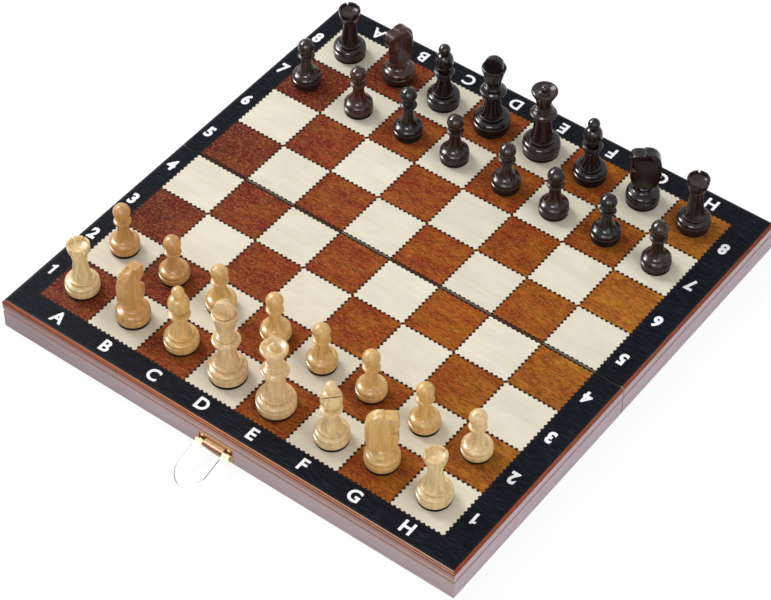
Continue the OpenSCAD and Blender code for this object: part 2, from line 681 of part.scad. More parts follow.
module left_hinge_near_leaf() { color(BRASS) translate([-hinge_x, 0, 0]) hinge_leaf(-1); }
module left_hinge_far_leaf() { color(BRASS) translate([-hinge_x, 0, 0]) hinge_leaf(1); }
module left_hinge_pin() { color(STEEL) translate([-hinge_x, 0, 0]) hinge_pin(); }
module right_hinge_near_leaf() { color(BRASS) translate([hinge_x, 0, 0]) hinge_leaf(-1); }
module right_hinge_far_leaf() { color(BRASS) translate([hinge_x, 0, 0]) hinge_leaf(1); }
module right_hinge_pin() { color(STEEL) translate([hinge_x, 0, 0]) hinge_pin(); }
module near_hinge_screws() { color(BRASS) hinge_screws(-1); }
module far_hinge_screws() { color(BRASS) hinge_screws(1); }

module light_king() { color(LIGHT_WOOD) for (p = light_kings_at) stand(p) king(p[5]); }
module light_queen() { color(LIGHT_WOOD) for (p = light_queens_at) stand(p) queen(); }
module light_bishops() { color(LIGHT_WOOD) for (p = light_bishops_at) stand(p) bishop(0.61); }
module light_knights() {
    color(LIGHT_WOOD) {
        stand(light_knights_at[0]) knight(1, 0.90);
        stand(light_knights_at[1]) knight(0.25, 0.90);
    }
}
module light_rooks() { color(LIGHT_WOOD) for (p = light_rooks_at) stand(p) rook(rook_h + p[5]); }
module light_pawns() { color(LIGHT_WOOD) for (p = light_pawns_at) stand(p) pawn(pawn_h + p[5]); }
module light_felts() {
    color(BASE_FELT) felts(concat(light_kings_at, light_queens_at),
                           concat(light_bishops_at, light_knights_at, light_rooks_at), light_pawns_at);
}
module light_magnets() {
    color(STEEL) magnets(concat(light_kings_at, light_queens_at, light_bishops_at, light_knights_at,
                                light_rooks_at, light_pawns_at));
}

module dark_king() { color(DARK_WOOD) for (p = dark_kings_at) stand(p) king(p[5]); }
module dark_queen() { color(DARK_WOOD) for (p = dark_queens_at) stand(p) queen(); }
module dark_bishops() { color(DARK_WOOD) for (p = dark_bishops_at) stand(p) bishop(0.56); }
module dark_knights() {
    color(DARK_WOOD) {
        stand(dark_knights_at[0]) knight(0, 0.52);
        stand(dark_knights_at[1]) knight(0, 0.86);
    }
}
module dark_rooks() { color(DARK_WOOD) for (p = dark_rooks_at) stand(p) rook(rook_h + p[5]); }
module dark_pawns() { color(DARK_WOOD) for (p = dark_pawns_at) stand(p) pawn(pawn_h + p[5]); }
module dark_felts() {
    color(BASE_FELT) felts(concat(dark_kings_at, dark_queens_at),
                           concat(dark_bishops_at, dark_knights_at, dark_rooks_at), dark_pawns_at);
}
module dark_magnets() {
    color(STEEL) magnets(concat(dark_kings_at, dark_queens_at, dark_bishops_at, dark_knights_at,
                                dark_rooks_at, dark_pawns_at));
}

near_core();
near_steel();
near_light_squares();
near_dark_squares();
near_border();
near_lining();
near_outer_rail();
near_left_rail();
near_right_rail();
near_middle_rail();
far_core();
far_steel();
far_light_squares();
far_dark_squares();
far_border();
far_lining();
far_outer_rail();
far_left_rail();
far_right_rail();
far_middle_rail();
left_hinge_near_leaf();
left_hinge_far_leaf();
left_hinge_pin();
right_hinge_near_leaf();
right_hinge_far_leaf();
right_hinge_pin();
near_hinge_screws();
far_hinge_screws();
clasp_plate();
clasp_pin();
clasp_nails();
hasp();
catch();
catch_nails();
light_king();
light_queen();
light_bishops();
light_knights();
light_rooks();
light_pawns();
light_felts();
light_magnets();
dark_king();
dark_queen();
dark_bishops();
dark_knights();
dark_rooks();
dark_pawns();
dark_felts();
dark_magnets();
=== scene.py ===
import bpy
import math
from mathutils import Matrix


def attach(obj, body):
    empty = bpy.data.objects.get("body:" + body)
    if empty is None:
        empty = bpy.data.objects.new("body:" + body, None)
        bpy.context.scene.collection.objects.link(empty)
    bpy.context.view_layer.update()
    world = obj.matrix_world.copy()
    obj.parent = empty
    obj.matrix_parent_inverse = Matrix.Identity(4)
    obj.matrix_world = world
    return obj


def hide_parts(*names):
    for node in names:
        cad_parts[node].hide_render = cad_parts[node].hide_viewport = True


mm = 0.001
reliefStrength = 0.5
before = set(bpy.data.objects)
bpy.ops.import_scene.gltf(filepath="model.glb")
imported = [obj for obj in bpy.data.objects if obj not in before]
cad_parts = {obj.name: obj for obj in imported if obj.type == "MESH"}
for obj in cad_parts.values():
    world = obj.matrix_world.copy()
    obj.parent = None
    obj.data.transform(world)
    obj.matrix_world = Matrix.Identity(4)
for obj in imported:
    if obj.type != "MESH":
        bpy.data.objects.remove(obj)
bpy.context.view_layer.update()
print("frame loaded:", len(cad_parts), "nodes")


def hexColour(code):  # sRGB hex to the linear values that the nodes take
    parts = [int(code[i:i + 2], 16) / 255 for i in (1, 3, 5)]
    return tuple(c / 12.92 if c < 0.04045 else ((c + 0.055) / 1.055) ** 2.4 for c in parts) + (1,)


# inputs by name or number, or a list of them in the node's own order; a node stands for its first output
def setInputs(tree, node, inputs):
    for key, value in inputs.items() if isinstance(inputs, dict) else enumerate(inputs):
        if isinstance(value, bpy.types.Node):
            value = value.outputs[0]
        if isinstance(value, bpy.types.NodeSocket):
            tree.links.new(value, node.inputs[key])
        else:
            node.inputs[key].default_value = value


def addNode(tree, kind, inputs=(), ramp=(), **settings):
    node = tree.nodes.new("ShaderNode" + kind)
    for key, value in settings.items():
        setattr(node, key, value)
    setInputs(tree, node, inputs)
    for i, (at, colour) in enumerate(ramp):
        stops = node.color_ramp.elements
        stop = stops[i] if i < 2 else stops.new(at)
        stop.position, stop.color = at, hexColour(colour)
    return node


def newMaterial(name, **surface):  # the last value is the piece's own place in millimetres
    material = bpy.data.materials.new(name)
    material.use_nodes = True
    tree = material.node_tree
    shader = tree.nodes["Principled BSDF"]
    setInputs(tree, shader, {key.replace("_", " "): value for key, value in surface.items()})
    coordinates = addNode(tree, "TexCoord")
    place = addNode(tree, "Mapping", {"Vector": coordinates.outputs["Object"], "Scale": (1 / mm,) * 3})
    return material, tree, shader, place


# In the finishes' dictionaries below, a pattern is the size of its patches in millimetres on each axis, then its
# detail, roughness and distortion. What is made of a pattern is four numbers: the part of it from low to high
# becomes what lies between least and most.
def finePattern(tree, place, patch, detail=3, roughness=0.55, distortion=0):
    stretched = addNode(tree, "Mapping", {"Vector": place, "Scale": [1 / size for size in patch]})
    return addNode(tree, "TexNoise", {"Vector": stretched, "Scale": 1, "Detail": detail, "Roughness": roughness,
                                      "Distortion": distortion})


def alongGrain(length, width, alongX):  # a patch that is long on one axis of the board
    return (length, width, width) if alongX else (width, length, width)


def finishSurface(tree, shader, colour, height=None, relief=0):  # relief in millimetres
    setInputs(tree, shader, {"Base Color": colour})
    if height:
        bump = addNode(tree, "Bump", {"Height": height, "Distance": relief * mm, "Strength": reliefStrength})
        setInputs(tree, shader, {"Normal": bump})


def finishNodes(material, *names):
    for name in names:
        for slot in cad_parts[name].material_slots:
            slot.material = material


def deselectAll():
    for thing in bpy.context.selected_objects:
        thing.select_set(False)


def pick(thing):
    deselectAll()
    thing.select_set(True)
    bpy.context.view_layer.objects.active = thing


# the board: 8 files, and 4 ranks on each half; half is from the middle to the outer walls
board = {"square": 30, "files": 8, "ranks": 4, "shiftX": -2.2, "top": 18.5, "half": 134, "foldEdge": 0.4}
firstFile = board["shiftX"] - board["files"] / 2 * board["square"]


def cellNumber(tree, place):  # one number for each square of the board, from 0 to 1
    clear = 10 * board["square"]  # keeps the count of squares above zero
    shifted = addNode(tree, "VectorMath", [place, (-board["shiftX"] + clear, clear, 0)], operation="ADD")
    cell = addNode(tree, "VectorMath", [shifted, (1 / board["square"], 1 / board["square"], 0)],
                   operation="MULTIPLY")
    floored = addNode(tree, "VectorMath", [cell], operation="FLOOR")
    return addNode(tree, "TexWhiteNoise", {"Vector": floored})


mahogany = {"leftX": -122, "rightX": 118,
            "stain": [(0, "#61261d"), (0.3, "#843c1c"), (0.75, "#914814"), (1, "#9c6020")],
            "pores": ((2.8, 0.6, 1), 2, 0.5, 0.2), "poreTone": (0.36, 0.64, 0.6, 1.42), "relief": 0.03,
            "clouds": ((13, 7, 1), 3, 0.6), "cloudTone": (0.35, 0.65, 0.84, 1.16),
            "cloudHue": (0.35, 0.65, 0.488, 0.511), "squareTone": (0, 1, 0.92, 1.08),
            "paintedGlints": ((1.5, 0.55, 2), 1, 0.5), "glintShare": (0.55, 0.66, 0, 0.5), "glintColour": "#bd7a44"}


# mahogany-stained veneer: redder towards file A and orange towards file H, a painted sheen over the stain, with short
# dark pores and orange flecks of painted glint along the grain, drawn coarser than real pores so that they show
def mahoganyVeneer():
    material, tree, shader, place = newMaterial("mahoganyVeneer", Roughness=0.42, IOR=1.5, Specular_IOR_Level=0.05)
    x = addNode(tree, "SeparateXYZ", [place])
    along = addNode(tree, "MapRange", [x, mahogany["leftX"], mahogany["rightX"]])
    # painted sheen: the stain ramp runs from dark red at file A to lighter orange at file H
    stain = addNode(tree, "ValToRGB", [along], ramp=mahogany["stain"])
    pores = finePattern(tree, place, *mahogany["pores"])
    clouds = finePattern(tree, place, *mahogany["clouds"])
    paintedGlints = finePattern(tree, place, *mahogany["paintedGlints"])
    poreTone = addNode(tree, "MapRange", [pores, *mahogany["poreTone"]])
    cloudTone = addNode(tree, "MapRange", [clouds, *mahogany["cloudTone"]])
    squareTone = addNode(tree, "MapRange", [cellNumber(tree, place), *mahogany["squareTone"]])
    tone = addNode(tree, "Math", [poreTone, cloudTone], operation="MULTIPLY")
    tone = addNode(tree, "Math", [tone, squareTone], operation="MULTIPLY")
    hue = addNode(tree, "MapRange", [clouds, *mahogany["cloudHue"]])
    colour = addNode(tree, "HueSaturation", {"Hue": hue, "Value": tone, "Color": stain})
    # painted glints: small orange flecks mixed in along the grain
    share = addNode(tree, "MapRange", [paintedGlints, *mahogany["glintShare"]])
    colour = addNode(tree, "Mix", {0: share, 6: colour, 7: hexColour(mahogany["glintColour"])}, data_type="RGBA").outputs[2]
    finishSurface(tree, shader, colour, pores, mahogany["relief"])
    return material


maple = {"grain": ((30, 2, 1), 4, 0.6, 0.3), "wood": [(0.3, "#e5dcc6"), (0.7, "#ebe4d2")], "relief": 0.02,
         "clouds": ((16, 9, 1), 2), "cloudTone": (0.35, 0.65, 0.96, 1.04), "squareTone": (0, 1, 0.96, 1.03)}


# maple veneer: cream, almost plain, with a faint long grain
def mapleVeneer():
    material, tree, shader, place = newMaterial("mapleVeneer", Roughness=0.42, IOR=1.5, Specular_IOR_Level=0.1)
    grain = finePattern(tree, place, *maple["grain"])
    clouds = finePattern(tree, place, *maple["clouds"])
    wood = addNode(tree, "ValToRGB", [grain], ramp=maple["wood"])
    cloudTone = addNode(tree, "MapRange", [clouds, *maple["cloudTone"]])
    squareTone = addNode(tree, "MapRange", [cellNumber(tree, place), *maple["squareTone"]])
    tone = addNode(tree, "Math", [cloudTone, squareTone], operation="MULTIPLY")
    colour = addNode(tree, "HueSaturation", {"Value": tone, "Color": wood})
    finishSurface(tree, shader, colour, grain, maple["relief"])
    return material


blackened = {"openGrain": (7, 0.5), "grainDetail": (5, 0.65, 0.6),
             "stain": [(0.5, "#090b12"), (0.72, "#2a3040")], "relief": 0.03}


def blackStain(tree, place, alongX=True):  # blue-black with fine lighter lines of the open grain
    lines = finePattern(tree, place, alongGrain(*blackened["openGrain"], alongX), *blackened["grainDetail"])
    return addNode(tree, "ValToRGB", [lines], ramp=blackened["stain"]), lines


# ebonised veneer round the squares: nearly black, with a dull gloss
def blackenedVeneer():
    material, tree, shader, place = newMaterial("blackenedVeneer", Roughness=0.45, IOR=1.5, Specular_IOR_Level=0.05)
    colour, lines = blackStain(tree, place)
    finishSurface(tree, shader, colour, lines, blackened["relief"])
    return material


# heights in millimetres; the round-over's zones are told apart by how far its surface has turned up, from 0 on
# the wall to 1 on top
rail = {"grain": (30, 1.2), "grainDetail": (5, 0.65, 0.5), "streakTone": (0.3, 0.7, 0.88, 1.12),
        "wear": ((7, 7, 1), 4, 0.7), "waver": (0.3, 0.7, -0.01, 0.01), "relief": 0.04,
        "bands": [(0, "foot"), (0.03, "low"), (0.68, "low"), (0.85, "high"), (1, "high")],
        "quirkShadeZone": (0.04, 0.14), "quirkShade": "#5c1e16", "lowerHighlightZone": (0.26, 0.36), "brownZone": (0.5, 0.6),
        "brown": [(0.35, "#6e2f20"), (0.6, "#a05a3a")], "upperHighlightZone": (0.72, 0.8), "grooveUp": (0.04, 0.2),
        "grooveEnd": (13, 12.4), "blackStart": (13, 13.5), "blackUp": (0, 1, 0.93, 0.1), "blackBlend": 0.04,
        "long": {"foot": "#7a5a56", "low": "#bba6aa", "high": "#a8776a", "groove": "#bb9481",
                 "shade": (0, 0.35, 0.72, 1), "paintedHighlight": [(0, "#a04a2e"), (0.45, "#c98053"), (1, "#b99a86")],
                 "black": ("Y", 1, 2)},
        "side": {"foot": "#7a5a56", "low": "#c4b0b9", "high": "#cdb0b2", "groove": "#ab9490",
                 "shade": (0, 1, 1, 0.96), "paintedHighlight": [(0, "#a04a2e"), (0.45, "#9a5840"), (1, "#7c3c2e")],
                 "black": ("X", -1, -2)}}


# lacquered rails: greyed mauve walls, which are a painted reflection of the white floor on the brown lacquer, a fine
# groove, orange-brown where the round-over cuts through the stain
def lacqueredRail(name, alongX):
    material, tree, shader, place = newMaterial(name, Roughness=0.42, IOR=1.5, Specular_IOR_Level=0.1)
    wall = rail["long" if alongX else "side"]
    streaks = finePattern(tree, place, alongGrain(*rail["grain"], alongX), *rail["grainDetail"])
    wear = finePattern(tree, place, *rail["wear"])
    at = addNode(tree, "SeparateXYZ", [place]).outputs
    along = addNode(tree, "MapRange", [at["X" if alongX else "Y"], -board["half"], board["half"]])

    # the wall: dark at its foot, then from the low colour to the high one; both are greyed mauve, a painted
    # reflection of the white floor on the brown lacquer
    height = addNode(tree, "MapRange", [at["Z"], 0, board["top"]])
    waver = addNode(tree, "MapRange", [wear, *rail["waver"]])
    height = addNode(tree, "Math", [height, waver], operation="ADD")
    bands = addNode(tree, "ValToRGB", [height], ramp=[(level, wall[tint]) for level, tint in rail["bands"]])
    streakTone = addNode(tree, "MapRange", [streaks, *rail["streakTone"]])
    # painted shade: the long walls darken towards their left ends, the side walls a little towards their far ends
    shade = addNode(tree, "MapRange", [along, *wall["shade"]])
    tone = addNode(tree, "Math", [streakTone, shade], operation="MULTIPLY")
    colour = addNode(tree, "HueSaturation", {"Value": tone, "Color": bands})

    # the round-over, from the wall up: a dark red line of painted shade in the quirk, a pale line of painted
    # highlight, brown, and a pale line of painted highlight again
    up = addNode(tree, "SeparateXYZ", [addNode(tree, "TexCoord").outputs["Normal"]]).outputs["Z"]
    paintedHighlight = addNode(tree, "ValToRGB", [along], ramp=wall["paintedHighlight"])
    brown = addNode(tree, "ValToRGB", [wear], ramp=rail["brown"])
    for zone, tint in (("quirkShadeZone", hexColour(rail["quirkShade"])), ("lowerHighlightZone", paintedHighlight), ("brownZone", brown),
                       ("upperHighlightZone", paintedHighlight)):
        share = addNode(tree, "MapRange", [up, *rail[zone]])
        colour = addNode(tree, "Mix", {0: share, 6: colour, 7: tint}, data_type="RGBA").outputs[2]

    # the groove's lower lip turns up too, but keeps near the colour of the wall: a faint orange line of painted
    # highlight on the long walls, a darker grey line of painted shade on the side walls
    belowLip = addNode(tree, "MapRange", [at["Z"], *rail["grooveEnd"]])
    turnedUp = addNode(tree, "MapRange", [up, *rail["grooveUp"]])
    inGroove = addNode(tree, "Math", [belowLip, turnedUp], operation="MULTIPLY")
    colour = addNode(tree, "Mix", {0: inGroove, 6: colour, 7: hexColour(wall["groove"])},
                     data_type="RGBA").outputs[2]

    # black on top, and over the whole round-over on the far and left sides, where the black is painted shade on
    # round-overs turned away from the light
    black = blackStain(tree, place, alongX)[0]
    axis, *reach = wall["black"]
    away = addNode(tree, "MapRange", [at[axis], *reach])
    start = addNode(tree, "MapRange", [away, *rail["blackUp"]])
    past = addNode(tree, "Math", [up, start], operation="SUBTRACT")
    past = addNode(tree, "MapRange", [past, 0, rail["blackBlend"]])
    aboveGroove = addNode(tree, "MapRange", [at["Z"], *rail["blackStart"]])
    onTop = addNode(tree, "Math", [past, aboveGroove], operation="MULTIPLY")
    colour = addNode(tree, "Mix", {0: onTop, 6: colour, 7: black}, data_type="RGBA").outputs[2]
    finishSurface(tree, shader, colour, streaks, rail["relief"])
    return material


finishNodes(mahoganyVeneer(), "near_dark_squares", "far_dark_squares")
finishNodes(mapleVeneer(), "near_light_squares", "far_light_squares")
finishNodes(blackenedVeneer(), "near_border", "far_border")
finishNodes(lacqueredRail("lacqueredMahoganyLong", True), "near_outer_rail", "far_outer_rail", "near_middle_rail",
            "far_middle_rail")
finishNodes(lacqueredRail("lacqueredMahoganySide", False), "near_left_rail", "near_right_rail", "far_left_rail",
            "far_right_rail")
print("board veneers and rails finished")

plywood = {"grain": ((40, 2, 0.5), 4), "wood": [(0.35, "#b8935f"), (0.65, "#d8bd8c")]}


# birch plywood: pale and dry, seen only from inside
def birchPlywood():
    material, tree, shader, place = newMaterial("birchPlywood", Roughness=0.6)
    grain = finePattern(tree, place, *plywood["grain"])
    finishSurface(tree, shader, addNode(tree, "ValToRGB", [grain], ramp=plywood["wood"]))
    return material


felt = {"nap": ((0.7, 0.7, 0.7), 5, 0.7), "relief": 0.2, "lining": ("#1b3526", "#2c5340"),
        "foot": ("#0d0a09", "#1d1816"), "ends": (0.35, 0.65)}


# pressed wool felt: matt, with a short nap, drawn coarser than wool so that it shows
def pressedFelt(name, darker, lighter):
    material, tree, shader, place = newMaterial(name, Roughness=0.95, Sheen_Weight=0.1, Sheen_Roughness=0.5,
                                                Specular_IOR_Level=0.05)
    nap = finePattern(tree, place, *felt["nap"])
    colour = addNode(tree, "ValToRGB", [nap], ramp=zip(felt["ends"], (darker, lighter)))
    finishSurface(tree, shader, colour, nap, felt["relief"])
    return material


# each metal's darker and lighter tone, the tone of its cut edges, and its least and most roughness
metals = {"marks": ((6, 0.8, 0.8), 4), "ends": (0.3, 0.7), "cutEdge": (0.55, 0.35),
          "galvanisedSteel": ("#8e9296", "#a8acb0", "#8e9296", 0.3, 0.5),
          "polishedBrass": ("#d9c07c", "#ecd9a2", "#c4a560", 0.16, 0.32),
          "brassWire": ("#b98f5c", "#d2b07c", "#c9a468", 0.25, 0.4),
          "nickelPlate": ("#b8b8b6", "#d2d2d0", "#b8b8b6", 0.15, 0.3)}


# rolled metal: one even tone with fine rolling marks, and another tone where the sheet's cut edges show
def rolledMetal(name):
    darker, lighter, edges, smoothest, roughest = metals[name]
    material, tree, shader, place = newMaterial(name, Metallic=1)
    marks = finePattern(tree, place, *metals["marks"])
    sheet = addNode(tree, "ValToRGB", [marks], ramp=zip(metals["ends"], (darker, lighter)))
    facing = addNode(tree, "SeparateXYZ", [addNode(tree, "TexCoord").outputs["Normal"]])
    flat = addNode(tree, "Math", [facing.outputs["Z"]], operation="ABSOLUTE")
    cut = addNode(tree, "MapRange", [flat, *metals["cutEdge"]])
    colour = addNode(tree, "Mix", {0: cut, 6: sheet, 7: hexColour(edges)}, data_type="RGBA").outputs[2]
    finishSurface(tree, shader, colour)
    setInputs(tree, shader, {"Roughness": addNode(tree, "MapRange", [marks, 0, 1, smoothest, roughest])})
    return material


finishNodes(birchPlywood(), "near_core", "far_core")
finishNodes(pressedFelt("liningFelt", *felt["lining"]), "near_lining", "far_lining")
finishNodes(rolledMetal("galvanisedSteel"), "near_steel", "far_steel")
hinges = [f"{hand}_hinge_{piece}" for hand in ("left", "right") for piece in ("near_leaf", "far_leaf", "pin")]
finishNodes(rolledMetal("polishedBrass"), *hinges, "near_hinge_screws", "far_hinge_screws")

# the hasp's outline in millimetres: a strip whose end is round about roundY, with a window of the same form
hasp = {"middleX": -1.5, "outer": 10, "window": 6, "roundY": -149.2, "line": 0.4, "leftSide": (0, -4),
        "rightSide": (2, 4), "rollY": (-139.6, -139), "plate": "#fffcf4", "outerRimShade": "#8b8a86",
        "innerRimShade": "#4d4b45", "roll": "#f4eccb"}


# bright plated hasp: it mirrors the white studio; grey lines of painted shade run along its rims, on the left of the
# outer rim and on the right of the window's rim
def platedHasp():
    material, tree, shader, place = newMaterial("platedBrass", Metallic=1, Roughness=0.2)
    at = addNode(tree, "SeparateXYZ", [place]).outputs
    x = addNode(tree, "Math", [at["X"], hasp["middleX"]], operation="SUBTRACT")
    y = addNode(tree, "Math", [at["Y"], hasp["roundY"]], operation="SUBTRACT")
    y = addNode(tree, "Math", [y, 0], operation="MINIMUM")
    flat = addNode(tree, "CombineXYZ", {"X": x, "Y": y})
    away = addNode(tree, "VectorMath", [flat], operation="LENGTH").outputs["Value"]
    line = hasp["line"]
    outer = addNode(tree, "MapRange", [away, hasp["outer"] - line, hasp["outer"] - line / 2])
    inner = addNode(tree, "MapRange", [away, hasp["window"] + line * 1.5, hasp["window"] + line])
    left = addNode(tree, "MapRange", [x, *hasp["leftSide"]])
    right = addNode(tree, "MapRange", [x, *hasp["rightSide"]])
    colour = hexColour(hasp["plate"])
    for rim, side, tint in ((outer, left, "outerRimShade"), (inner, right, "innerRimShade")):
        share = addNode(tree, "Math", [rim, side], operation="MULTIPLY")
        colour = addNode(tree, "Mix", {0: share, 6: colour, 7: hexColour(hasp[tint])}, data_type="RGBA").outputs[2]
    roll = addNode(tree, "MapRange", [at["Y"], *hasp["rollY"]])
    colour = addNode(tree, "Mix", {0: roll, 6: colour, 7: hexColour(hasp["roll"])}, data_type="RGBA").outputs[2]
    finishSurface(tree, shader, colour)
    return material


wallPlate = {"reflectionMottle": ((7, 1, 0.8), 4), "sheet": [(0.35, "#6b4639"), (0.65, "#936a59")], "shadedTailZ": (7.2, 6.7),
             "shadedTail": "#a79a6c", "highlightFacing": (0.35, 0.2), "edgeHighlight": "#e2c79a"}


# brass of the wall plate: its brown sheet is a painted reflection of the wall, the greenish gold below the knuckle is
# painted shade, and the pale edges are painted highlights
def tarnishedPlate():
    material, tree, shader, place = newMaterial("brassPaintedReflection", Metallic=1, Roughness=0.34)
    at = addNode(tree, "SeparateXYZ", [place]).outputs
    facing = addNode(tree, "SeparateXYZ", [addNode(tree, "TexCoord").outputs["Normal"]]).outputs
    reflectionMottle = finePattern(tree, place, *wallPlate["reflectionMottle"])
    sheet = addNode(tree, "ValToRGB", [reflectionMottle], ramp=wallPlate["sheet"])
    shadedTail = addNode(tree, "MapRange", [at["Z"], *wallPlate["shadedTailZ"]])
    colour = addNode(tree, "Mix", {0: shadedTail, 6: sheet, 7: hexColour(wallPlate["shadedTail"])}, data_type="RGBA").outputs[2]
    front = addNode(tree, "Math", [facing["Y"]], operation="ABSOLUTE")
    edge = addNode(tree, "MapRange", [front, *wallPlate["highlightFacing"]])
    colour = addNode(tree, "Mix", {0: edge, 6: colour, 7: hexColour(wallPlate["edgeHighlight"])},
                     data_type="RGBA").outputs[2]
    finishSurface(tree, shader, colour)
    return material


finishNodes(platedHasp(), "hasp")
finishNodes(tarnishedPlate(), "clasp_plate", "catch")
finishNodes(rolledMetal("brassWire"), "clasp_pin", "clasp_nails", "catch_nails")
print("panels, linings and brassware finished")

# each man was cut from a blank of its own shade: officers and pawns name the shades from file A to file H
boxwood = {"shades": {"pale": "#ebcd96", "honey": "#e0b672", "tan": "#d19d5d", "rosy": "#e4c08c"},
           "officers": ("pale", "tan", "honey", "rosy", "rosy", "pale", "honey", "pale"),
           "pawns": ("tan", "tan", "honey", "honey", "honey", "honey", "honey", "pale"),
           "pore": "#9c6630", "grainTone": (0.3, 0.7, 0.74, 1.2), "roughness": 0.28, "gloss": 0.36}
ebonised = {"shades": {"black": "#1a0f11", "umber": "#2b1917", "brown": "#40221a"},
            "officers": ("umber", "brown", "black", "black", "umber", "black", "black", "umber"),
            "pawns": ("umber", "brown", "black", "umber", "umber", "umber", "black", "umber"),
            "pore": "#0c0606", "grainTone": (0.3, 0.7, 0.5, 1.5), "roughness": 0.18, "gloss": 0.34}
turning = {"officerRank": (89, 91), "blanksApart": (170, 90, 60), "grain": ((1.8, 1.8, 22), 5, 0.6, 0.6),
           "pores": ((0.45, 0.45, 5), 2), "poreShare": (0.58, 0.75, 0, 0.3), "relief": 0.03}


# turned and carved wood: upright grain under a semi-gloss lacquer
def turnedWood(name, wood):
    material, tree, shader, place = newMaterial(name, Roughness=wood["roughness"], IOR=1.5,
                                                Specular_IOR_Level=wood["gloss"])
    at = addNode(tree, "SeparateXYZ", [place]).outputs
    file = addNode(tree, "MapRange", [at["X"], firstFile, firstFile + board["files"] * board["square"]])
    rows = []
    for row in ("officers", "pawns"):
        ramp = [(i / board["files"], wood["shades"][shade]) for i, shade in enumerate(wood[row])]
        rows.append(addNode(tree, "ValToRGB", [file], ramp=ramp))
        rows[-1].color_ramp.interpolation = "CONSTANT"
    away = addNode(tree, "Math", [at["Y"]], operation="ABSOLUTE")
    officer = addNode(tree, "MapRange", [away, *turning["officerRank"]])
    shade = addNode(tree, "Mix", {0: officer, 6: rows[1], 7: rows[0]}, data_type="RGBA").outputs[2]
    blank = addNode(tree, "VectorMath", [cellNumber(tree, place), turning["blanksApart"], place],
                    operation="MULTIPLY_ADD")
    grain = finePattern(tree, blank, *turning["grain"])
    pores = finePattern(tree, blank, *turning["pores"])
    tone = addNode(tree, "MapRange", [grain, *wood["grainTone"]])
    colour = addNode(tree, "HueSaturation", {"Value": tone, "Color": shade})
    share = addNode(tree, "MapRange", [pores, *turning["poreShare"]])
    colour = addNode(tree, "Mix", {0: share, 6: colour, 7: hexColour(wood["pore"])}, data_type="RGBA").outputs[2]
    finishSurface(tree, shader, colour, pores, turning["relief"])
    return material


lightWood, darkWood = turnedWood("lacqueredBoxwood", boxwood), turnedWood("ebonisedBoxwood", ebonised)
for kind in ("king", "queen", "bishops", "knights", "rooks", "pawns"):
    finishNodes(lightWood, "light_" + kind)
    finishNodes(darkWood, "dark_" + kind)
finishNodes(pressedFelt("baseFelt", *felt["foot"]), "light_felts", "dark_felts")
finishNodes(rolledMetal("nickelPlate"), "light_magnets", "dark_magnets")

carving = {"weld": 0.002, "voxel": 0.3, "softness": 0.5, "passes": 2}


def carvedKnights(colour, body):  # the knights with their edges eased by the carver's knife and sandpaper
    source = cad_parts[colour + "_knights"]
    knights = source.copy()
    knights.data = source.data.copy()
    bpy.context.scene.collection.objects.link(knights)
    knights.parent = None
    knights.matrix_world = source.matrix_world.copy()
    knights.name = colour + "_knights_carved"
    pick(knights)
    bpy.ops.object.mode_set(mode="EDIT")
    bpy.ops.mesh.select_all(action="SELECT")
    bpy.ops.mesh.remove_doubles(threshold=carving["weld"] * mm)
    bpy.ops.object.mode_set(mode="OBJECT")
    for kind, settings in (("REMESH", {"mode": "VOXEL", "voxel_size": carving["voxel"] * mm}),
                           ("SMOOTH", {"factor": carving["softness"], "iterations": carving["passes"]})):
        bpy.ops.object.modifier_add(type=kind)
        modifier = bpy.context.object.modifiers[-1]
        for key, value in settings.items():
            setattr(modifier, key, value)
        bpy.ops.object.modifier_apply(modifier=modifier.name)
    bpy.ops.object.shade_smooth()
    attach(knights, body)
    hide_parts(colour + "_knights")


carvedKnights("light", "near_half")
carvedKnights("dark", "far_half")
print("chessmen finished")

dots = {"radius": 0.82, "foldRow": 0.75, "burnt": 0.55, "height": 0.03, "perSquare": 11, "sides": 8,
        "patches": ((1.2, 1.2, 1.2), 2), "ink": [(0.3, "#0c0707"), (0.7, "#20120e")]}


# burnt and inked dots: brown-black, matt
def inkedDots():
    material, tree, shader, place = newMaterial("inkedDots", Roughness=0.6, Specular_IOR_Level=0.1)
    patches = finePattern(tree, place, *dots["patches"])
    finishSurface(tree, shader, addNode(tree, "ValToRGB", [patches], ramp=dots["ink"]))
    return material


def repeatAlong(count, step):  # an array of the active piece, applied
    bpy.ops.object.modifier_add(type="ARRAY")
    array = bpy.context.object.modifiers[-1]
    array.use_relative_offset, array.use_constant_offset = False, True
    array.constant_offset_displace = [s * mm for s in step]
    array.count = count
    bpy.ops.object.modifier_apply(modifier=array.name)


def newDot(x, y):
    deselectAll()
    bpy.ops.mesh.primitive_cylinder_add(vertices=dots["sides"], radius=dots["radius"] * mm, depth=dots["height"] * mm,
                                        location=(x * mm, y * mm, (board["top"] + dots["height"] / 2) * mm))
    bpy.ops.object.transform_apply(location=True, rotation=True, scale=True)
    return bpy.context.object


